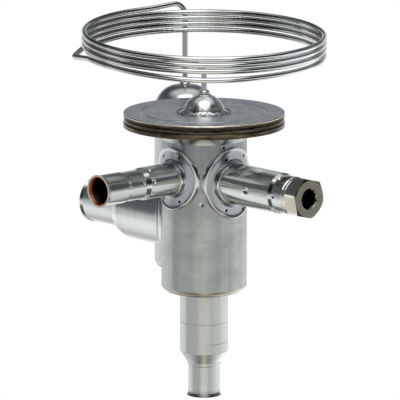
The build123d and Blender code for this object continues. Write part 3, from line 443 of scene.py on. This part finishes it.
def copper_finish(axis, mouth, inside, glint=None):
    """Copper in a solder socket, blackened further in by painted shade, with a painted highlight where a
    glint place is given.
    """
    finish = Finish("copper lining " + axis)
    cloud = finish.noise(260.0, 4.0, 0.6)
    finish.colour(finish.ramp(cloud, [(0.3, COPPER_DARK), (0.7, COPPER_LIGHT)]))
    depth = finish.along(axis, mouth, inside)
    # Painted shade, darker deeper into the bore
    finish.tint(finish.ramp(depth, [(0.0, 0.0), (0.35, 0.1), (0.6, 0.8), (0.9, 1.0)]), COPPER_BORE_SHADE)
    # Painted highlight: a glint at the given place
    if glint:
        spot = finish.away(glint, *GLINT_REACH)
        finish.tint(finish.ramp(spot, [(0.0, 0.9), (1.0, 0.0)]), COPPER_GLINT)
    finish.roughness(finish.math("MULTIPLY_ADD", cloud, GRAIN_SPREAD, 0.3))
    finish.bump(cloud, 0.006)
    return finish


def finishes():
    """Each finish with the nodes that wear it."""
    return [
        (body_finish(), ["valve_body"]),
        (inlet_finish(), ["inlet_tube"]),
        (turned_metal("drawn equalizer steel", BRIGHT_STEEL, 0.19, "Y", 900.0), ["equalizer_tube"]),
        (turned_metal("drawn outlet steel", (0.74, 0.76, 0.76), 0.2, "X", 900.0, brush=0.4),
         ["outlet_tube"]),
        (turned_metal("polished adjuster steel", (0.66, 0.69, 0.67), 0.12, "X", 1100.0, 0.003, brush=0.2),
         ["adjuster_tube"]),
        (head_top_finish(), ["head_top_plate"]),
        (skirt_finish(), ["head_lower_housing"]),
        (clamp_ring_finish(), ["head_clamp_ring"]),
        (dome_finish(), ["capillary_dome"]),
        (capillary_finish(), ["capillary"]),
        (turned_metal("satin bulb steel", BRIGHT_STEEL, 0.22, "Z", 900.0, brush=0.2), ["bulb"]),
        (plain_metal("bright solder", (0.66, 0.67, 0.65), 0.16, 700.0, 0.02), ["dome_joint", "bulb_joint"]),
        (plug_finish(), ["hex_plug"]),
        (turned_metal("bright seal metal", (0.78, 0.79, 0.80), 0.2, "X"), ["plug_seal_ring"]),
        (copper_finish("Z", 0.0, SHADED_DEPTH), ["inlet_liner"]),
        (copper_finish("X", OUTLET_MOUTH, OUTLET_MOUTH + SHADED_DEPTH), ["outlet_liner"]),
        (copper_finish("Y", EQUALIZER_MOUTH, EQUALIZER_MOUTH + EQUALIZER_SHADED_DEPTH, GLINT_PLACE),
         ["equalizer_liner"]),
        (turned_metal("inner turned steel", STEEL, 0.25, "Z"), ["orifice_seat", "valve_cone"]),
        (turned_metal("stem steel", STEEL, 0.22, "X"), ["adjusting_stem"]),
        (plain_metal("spring steel", (0.46, 0.47, 0.48), 0.24),
         ["push_rod", "superheat_spring", "diaphragm", "strainer_mesh", "strainer_clip"]),
        (turned_metal("turned brass", BRASS, 0.24, "Z"),
         ["pressure_pad", "strainer_frame", "rod_guide", "crown_wheel", "spring_seat"]),
        (turned_metal("cross turned brass", BRASS, 0.24, "X"),
         ["bevel_pinion", "stem_bush", "adjuster_insert", "gland_nut"]),
        (moulded("black rubber", 0.012, 0.03, 0.5, 2500.0, 0.01), ["rod_seal", "stem_seal"]),
        (moulded("white seal washer", 0.72, 0.8, 0.4, 1800.0, 0.005), ["seal_washer"]),
    ]


def dress():
    for finish, nodes in finishes():
        for name in nodes:
            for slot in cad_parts[name].material_slots:
                slot.material = finish.material


# Pieces made here


def placed(name, data):
    """A new object, linked into the scene."""
    thing = bpy.data.objects.new(name, data)
    bpy.context.scene.collection.objects.link(thing)
    return thing


def settled(name, bm, *finishes, smooth=50.0):
    """A finished mesh object at the origin, its faces outwards."""
    bmesh.ops.recalc_face_normals(bm, faces=bm.faces)
    for face in bm.faces:
        face.smooth = True
    mesh = bpy.data.meshes.new(name)
    bm.to_mesh(mesh)
    bm.free()
    mesh.set_sharp_from_angle(angle=radians(smooth))
    for finish in finishes:
        mesh.materials.append(finish.material)
    return placed(name, mesh)


def make_real(thing):
    """Turns an object's modifiers into plain mesh and takes them off."""
    seen = thing.evaluated_get(bpy.context.evaluated_depsgraph_get())
    mesh = bpy.data.meshes.new_from_object(seen)
    thing.modifiers.clear()
    thing.data = mesh


def banded(bm, loops, kinds):
    """Quads between closed loops of points, the last loop joined to the first.

    Each band takes its finish from kinds.
    """
    rings = [[bm.verts.new(point) for point in loop] for loop in loops]
    count = len(rings[0])
    for kind, ring, after in zip(kinds, rings, rings[1:] + rings[:1]):
        for i in range(count):
            j = (i + 1) % count
            face = bm.faces.new((ring[i], ring[j], after[j], after[i]))
            face.material_index = kind


class Saddle(NamedTuple):
    """A ring bent round the body where a tube joins it."""

    way: tuple          # the way that the tube points
    level: float
    tube_r: float
    half_height: float
    half_width: float
    pits: list          # each pit's place across and up from the tube's axis


SADDLES = {
    "outlet": Saddle((-1, 0, 0), OUTLET_LEVEL, OUTLET_ROOT_R, 17.6, 16.3, []),
    "equalizer": Saddle((0, -1, 0), EQUALIZER_LEVEL, EQUALIZER_R, 14.6, 13.4,
                        [(-5.7, 9.6), (4.9, 10.3), (5.0, -10.2), (-5.5, -10.0)]),
    "adjuster": Saddle((1, 0, 0), ADJUSTER_LEVEL, ADJUSTER_R, 16.6, 14.06,
                       [(-4.2, 11.2), (7.0, 11.7), (-4.3, -12.3), (6.2, -13.0), (6.9, -15.6)]),
}
SADDLE_SEAT_R = BODY_R + 0.05
SADDLE_STEPS = 144
# Distance in from the outer edge and height above the body.
SADDLE_LIP = [
    (0.0, 0.0), (0.0, 0.5), (0.08, 0.92), (0.28, 1.22), (0.58, 1.33), (0.88, 1.24), (1.12, 1.04),
    (1.45, 0.86), (1.9, 0.78), (2.5, 0.76),
]
# Distance out from the tube and height above the body.
SADDLE_COLLAR = [
    (2.2, 0.76), (1.5, 0.8), (1.1, 0.98), (0.86, 1.35), (0.76, 1.9), (0.7, 2.5), (0.62, 2.8),
    (0.46, 2.95), (0.24, 2.98), (0.08, 2.85), (0.06, 0.0),
]
FLAT_ROOM = 0.3        # least width of the flat between lip and collar
# The lip's bands and the collar's top bands take the lighter copy of the saddle steel, a painted highlight
LIT_LIP_BANDS = 7       # bands of the lip that are polished
SATIN_COLLAR = 5       # bands of the collar's foot that aren't
FACE_LIFT = 0.8        # height of the saddle's face above the body
PIT_R = 0.7
PIT_DEPTH = 0.65
PIT_BEVEL = 0.25
PIT_SIDES = 16
TOOL_CORE_R = 0.02
TOOL_TOP = 1.2
# Radius and height of the tool that cuts a pit, from its deepest loop upwards.
PIT_LOOPS = [
    (TOOL_CORE_R, -PIT_DEPTH), (PIT_R * 0.7, -PIT_DEPTH), (PIT_R, -0.1), (PIT_R + PIT_BEVEL, 0.12),
    (PIT_R + PIT_BEVEL, TOOL_TOP), (TOOL_CORE_R, TOOL_TOP),
]
PIT_KINDS = [1, 1, 0, 0, 0, 0]


def on_body(saddle, across, up, lift):
    """A point over the body's round, on the side that the saddle's tube points to."""
    way = Vector(saddle.way)
    side = Vector((0, 0, 1)).cross(way)
    reach = SADDLE_SEAT_R + lift
    out = max(0.0, reach * reach - across * across) ** 0.5
    return (way * out + side * across + Vector((0, 0, saddle.level + up))) * MM


def saddle_loops(saddle):
    """The loops of a saddle ring, from its outer edge in to the tube."""
    high, wide = saddle.half_height, saddle.half_width
    flat_from = SADDLE_LIP[-1][0] + SADDLE_COLLAR[0][0] + FLAT_ROOM
    loops = [[] for _ in SADDLE_LIP + SADDLE_COLLAR]
    for i in range(SADDLE_STEPS):
        angle = 2 * pi * i / SADDLE_STEPS
        flat, rise = cos(angle), sin(angle)
        outer = wide * high / ((high * flat) ** 2 + (wide * rise) ** 2) ** 0.5
        squeeze = min(1.0, (outer - saddle.tube_r) / flat_from)
        spots = [(outer - inset * squeeze, lift) for inset, lift in SADDLE_LIP]
        spots += [(saddle.tube_r + gap * squeeze, lift) for gap, lift in SADDLE_COLLAR]
        for loop, (r, lift) in zip(loops, spots):
            loop.append(on_body(saddle, r * flat, r * rise, lift))
    return loops


def pit_tool(saddle, across, up, polished, pit_shade):
    """A short plug with a bevelled top that cuts one pit."""
    middle = on_body(saddle, across, up, FACE_LIFT)
    axis = Vector((middle.x, middle.y, 0)).normalized()
    turn = axis.to_track_quat("Z", "Y").to_matrix()
    angles = [2 * pi * i / PIT_SIDES for i in range(PIT_SIDES)]
    loops = [
        [middle + turn @ Vector((r * cos(angle), r * sin(angle), height)) * MM for angle in angles]
        for r, height in PIT_LOOPS
    ]
    bm = bmesh.new()
    banded(bm, loops, PIT_KINDS)
    bmesh.ops.recalc_face_normals(bm, faces=bm.faces)
    mesh = bpy.data.meshes.new("pit")
    bm.to_mesh(mesh)
    bm.free()
    # The pit's deep faces take the painted shade, and its bevel takes the lip's finish with its painted
    # highlight
    for finish in (polished, pit_shade):
        mesh.materials.append(finish.material)
    return placed("pit", mesh)


def saddles():
    """The three rings that seat the side tubes, each with its stake pits."""
    face = plain_metal("satin saddle steel", (0.39, 0.41, 0.435), 0.26)
    # A lighter copy of the saddle steel for the lip and collar edge: a painted highlight, besides their real
    # polish
    lip = plain_metal("polished saddle lip with painted highlight", (0.64, 0.665, 0.66), 0.16)
    # Painted shade: the faces deep inside each pit are made dark
    pit_shade = plain_metal("painted pit shade", SCALE_AND_SHADE_DARK, 0.5)
    satin = len(SADDLE_LIP) - LIT_LIP_BANDS + SATIN_COLLAR
    kinds = [1] * LIT_LIP_BANDS + [0] * satin + [1] * (len(SADDLE_COLLAR) - SATIN_COLLAR)
    for name, saddle in SADDLES.items():
        bm = bmesh.new()
        banded(bm, saddle_loops(saddle), kinds)
        thing = settled(name + "_saddle_ring", bm, face, lip, smooth=60.0)
        tools = [pit_tool(saddle, across, up, lip, pit_shade) for across, up in saddle.pits]
        for tool in tools:
            cut = thing.modifiers.new("pit", "BOOLEAN")
            cut.object = tool
            cut.solver = "EXACT"
            cut.material_mode = "TRANSFER"
        make_real(thing)
        for tool in tools:
            bpy.data.objects.remove(tool)
        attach(thing, "valve")
        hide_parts(name + "_saddle")


BEAD_SIDES = 12
BEAD_STEPS = 360
BEAD_GAIN = 4.0  # brings the noise from about 0.25 to 0.75 up to -1 to 1
BEAD_SIZES = ("Height", "Ring radius", "Bead radius", "Unevenness", "Waves a metre")
# Their values, in the same order and in metres.
EDGE_BEAD = ((HEAD_TOP - 0.3) * MM, (HEAD_R - 0.3) * MM, 0.36 * MM, 0.18, 170.0)
FOOT_BEAD = ((HEAD_TOP + 0.1) * MM, DOME_FOOT_R * MM, 0.5 * MM, 0.55, 350.0)
WELD_SPECK_GREY = (0.12, 0.12, 0.12)


def bead_tree():
    """Nodes that sweep a round section along a flat ring, its size uneven."""
    tree = bpy.data.node_groups.new("weld bead", "GeometryNodeTree")
    tree.interface.new_socket("Bead", in_out="OUTPUT", socket_type="NodeSocketGeometry")
    for label in BEAD_SIZES:
        tree.interface.new_socket(label, in_out="INPUT", socket_type="NodeSocketFloat")
    tree.interface.new_socket("Finish", in_out="INPUT", socket_type="NodeSocketMaterial")
    nodes = Nodes(tree)
    sizes = nodes.add("NodeGroupInput").outputs
    noise = nodes.add("ShaderNodeTexNoise", {"Scale": sizes["Waves a metre"], "Detail": 1.0})
    wave = nodes.math("MULTIPLY_ADD", noise.outputs["Fac"], BEAD_GAIN, -BEAD_GAIN / 2)
    swell = nodes.math("MULTIPLY_ADD", wave, sizes["Unevenness"], 1.0)
    ring, section = (
        nodes.add("GeometryNodeCurvePrimitiveCircle", {"Resolution": steps, "Radius": sizes[label]})
        for steps, label in ((BEAD_STEPS, "Ring radius"), (BEAD_SIDES, "Bead radius"))
    )
    curves = {"Curve": ring.outputs["Curve"], "Profile Curve": section.outputs["Curve"], "Scale": swell}
    swept = nodes.add("GeometryNodeCurveToMesh", curves).outputs["Mesh"]
    lift = nodes.add("ShaderNodeCombineXYZ", {"Z": sizes["Height"]}).outputs["Vector"]
    raised = nodes.add("GeometryNodeSetPosition", {"Geometry": swept, "Offset": lift})
    real = nodes.add("GeometryNodeRealizeInstances", {"Geometry": raised.outputs["Geometry"]})
    dressed = nodes.add(
        "GeometryNodeSetMaterial", {"Geometry": real.outputs["Geometry"], "Material": sizes["Finish"]}
    )
    nodes.add("NodeGroupOutput", {"Bead": dressed.outputs["Geometry"]})
    return tree


def bead(tree, name, finish, sizes):
    """A bead of weld laid as a flat ring round the valve's axis."""
    blank = placed(name + " blank", bpy.data.meshes.new(name + " blank"))
    sweep = blank.modifiers.new("bead", "NODES")
    sweep.node_group = tree
    inputs = [item.identifier for item in tree.interface.items_tree if item.in_out == "INPUT"]
    for identifier, value in zip(inputs, (*sizes, finish.material)):
        sweep[identifier] = value
    make_real(blank)
    bm = bmesh.new()
    bm.from_mesh(blank.data)
    bpy.data.objects.remove(blank)
    thing = settled(name, bm, finish)
    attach(thing, "valve")


def beads():
    """The polished edge of the head and the weld round the dome's foot."""
    edge = plain_metal("polished head edge", (0.80, 0.76, 0.66), 0.16, stain=0.2)
    weld = plain_metal("speckled weld", (0.60, 0.61, 0.60), 0.22, 700.0, 0.03, 0.3)
    specks = weld.ramp(weld.noise(*WELD_SPECKS), [(0.45, 0.0), (0.53, 0.9)])
    weld.tint(specks, WELD_SPECK_GREY)
    tree = bead_tree()
    bead(tree, "head_edge_bead", edge, EDGE_BEAD)
    bead(tree, "dome_foot_bead", weld, FOOT_BEAD)


# Camera, light and floor, in metres

VIEW_AZIMUTH = 47.7
VIEW_ELEVATION = 11.4
VIEW_DISTANCE = 2.3
LENS = 450
MIDDLE = (-1.24 * MM, -1.36 * MM, 91.7 * MM)


def view_axes():
    """The directions to the camera's right and back from the valve to it."""
    azimuth, elevation = radians(VIEW_AZIMUTH), radians(VIEW_ELEVATION)
    right = Vector((cos(azimuth), sin(azimuth), 0))
    level = cos(elevation)
    return right, Vector((sin(azimuth) * level, -cos(azimuth) * level, sin(elevation)))


def forward():
    """The level direction from the valve to the camera."""
    back = view_axes()[1]
    return Vector((back.x, back.y, 0)).normalized()


def camera():
    right, back = view_axes()
    data = bpy.data.cameras.new("camera")
    data.lens = LENS
    data.sensor_width = 36
    data.clip_end = 20
    thing = placed("camera", data)
    turn = Matrix((right, back.cross(right), back)).transposed().to_4x4()
    place = Vector(MIDDLE) + back * VIEW_DISTANCE
    thing.matrix_world = Matrix.Translation(place) @ turn
    bpy.context.scene.camera = thing


DARK_ROOM = (0.1, 0.11, 0.125)
# Tones for each share of the way from straight down to straight up.
TABLE_AND_ROOM = [
    (0.0, 0.8), (0.12, 0.8), (0.17, 1.0), (0.27, 1.3), (0.35, 1.3), (0.385, 1.0), (0.44, 1.0),
    (0.5, 0.7), (0.54, (0.225, 0.24, 0.26)), (0.65, (0.165, 0.18, 0.2)), (0.75, DARK_ROOM),
    (0.84, DARK_ROOM), (0.88, 0.3), (0.93, 0.95), (1.0, 0.95),
]
# Degrees round the camera's direction, from its left to its right, and a tone.
ROUND_THE_TABLE = [
    (-180, 1.0), (-140, 0.95), (-112, 0.95), (-99, 0.85), (-94, 0.5), (-82, 0.5), (-75, 0.8),
    (-40, 0.93), (-25, 0.93), (-10, 0.8), (2, 0.75), (16, 0.74), (30, 0.9), (45, 1.1), (57, 1.2),
    (70, 1.08), (84, 0.9), (100, 0.97), (120, 1.0), (180, 1.0),
]
LIT_SIDES = [
    (-180, 0.9), (-150, 0.6), (-124, 1.0), (-86, 1.0), (-79, 0.18), (-30, 0.06),
    (-19, (1.2, 1.13, 1.0)), (24, (1.25, 1.15, 0.98)), (33, 0.04), (80, 0.12), (87, 1.0),
    (124, 1.05), (150, 1.5), (180, 0.9),
]
# How far the lit sides tell, from straight down to straight up.
AWAY_FROM_LEVEL = [
    (0.0, 1.0), (0.27, 1.0), (0.34, 0.0), (0.46, 0.0), (0.52, 1.0), (0.9, 1.0), (0.97, 0.0),
]
# Where the pale wall behind the valve is, round from its middle and up from level.
WALL_ROUND = [(0.04, 1.0), (0.1, 0.0)]
WALL_UP = [(0.5, 1.0), (0.56, 1.0), (0.61, 0.0)]
WALL_TONE = (0.85, 0.85, 0.85)
WHITE = (1.0, 1.0, 1.0)


def studio_world():
    """A pale table in a dim room with lit sides, while the camera itself sees white."""
    world = bpy.data.worlds.new("studio")
    bpy.context.scene.world = world
    world.use_nodes = True
    room = Nodes(world.node_tree)
    way = room.add("ShaderNodeTexCoord").outputs["Generated"]
    height = room.add("ShaderNodeSeparateXYZ", {0: way}).outputs["Z"]
    rise = room.math("MULTIPLY_ADD", height, 0.5, 0.5)
    rightward, frontward = (
        room.add("ShaderNodeVectorMath", {0: way, 1: axis}, operation="DOT_PRODUCT").outputs["Value"]
        for axis in (view_axes()[0], forward())
    )
    turn = room.math("MULTIPLY_ADD", room.math("ARCTAN2", rightward, frontward), 0.5 / pi, 0.5)
    table, sides = (
        room.ramp(turn, [(0.5 + angle / 360, tone) for angle, tone in stops])
        for stops in (ROUND_THE_TABLE, LIT_SIDES)
    )
    tone = room.mix(1.0, room.ramp(rise, TABLE_AND_ROOM), table, "MULTIPLY")
    tone = room.mix(room.ramp(rise, AWAY_FROM_LEVEL), tone, sides, "MULTIPLY")
    wall_round = room.ramp(room.math("MULTIPLY_ADD", frontward, 0.5, 0.5), WALL_ROUND)
    wall = room.math("MULTIPLY", wall_round, room.ramp(rise, WALL_UP))
    tone = room.mix(wall, tone, WALL_TONE)
    seen = room.add("ShaderNodeLightPath").outputs["Is Camera Ray"]
    room.put(room.tree.nodes["Background"].inputs["Color"], room.mix(seen, tone, WHITE))


SOFTBOX_HEIGHT = 1.25
SOFTBOX_FORWARD = 0.75
SOFTBOX_RIGHT = 0.03
SOFTBOX_SIZE = (1.3, 1.6)
SOFTBOX_GLOW = 1.3


def softbox():
    """A plain flat lamp above the front of the valve, facing it."""
    right = view_axes()[0]
    place = Vector((0, 0, SOFTBOX_HEIGHT)) + forward() * SOFTBOX_FORWARD + right * SOFTBOX_RIGHT
    width, depth = SOFTBOX_SIZE
    data = bpy.data.lights.new("front softbox", "AREA")
    data.shape = "RECTANGLE"
    data.size = width
    data.size_y = depth
    data.energy = SOFTBOX_GLOW * pi * width * depth
    thing = placed("front softbox", data)
    back = (place - Vector(MIDDLE)).normalized()
    upward = back.cross(right).normalized()
    turn = Matrix((upward.cross(back), upward, back)).transposed().to_4x4()
    thing.matrix_world = Matrix.Translation(place) @ turn


FLOOR_HALF = 6.0
FLOOR_LEVEL = -0.3
FLOOR_WHITE = (0.9, 0.9, 0.9)
FLOOR_ROUGHNESS = 0.6


def floor():
    """A wide pale floor, far enough below that no shadow reaches the view."""
    mesh = bpy.data.meshes.new("floor")
    corners = [(x * FLOOR_HALF, y * FLOOR_HALF, FLOOR_LEVEL) for x, y in ((-1, -1), (1, -1), (1, 1), (-1, 1))]
    mesh.from_pydata(corners, [], [(0, 1, 2, 3)])
    thing = placed("floor", mesh)
    paint = Finish("white floor", metallic=0.0)
    paint.colour(FLOOR_WHITE)
    paint.roughness(FLOOR_ROUGHNESS)
    glow = paint.add("ShaderNodeEmission").outputs["Emission"]
    seen = paint.add("ShaderNodeLightPath").outputs["Is Camera Ray"]
    blend = paint.add("ShaderNodeMixShader", {"Fac": seen, 1: paint.shader.outputs["BSDF"], 2: glow})
    paint.put(paint.tree.nodes["Material Output"].inputs["Surface"], blend.outputs["Shader"])
    mesh.materials.append(paint.material)
    thing.visible_glossy = False


dress()
saddles()
beads()
camera()
studio_world()
softbox()
floor()
bpy.context.scene.view_settings.view_transform = "Standard"
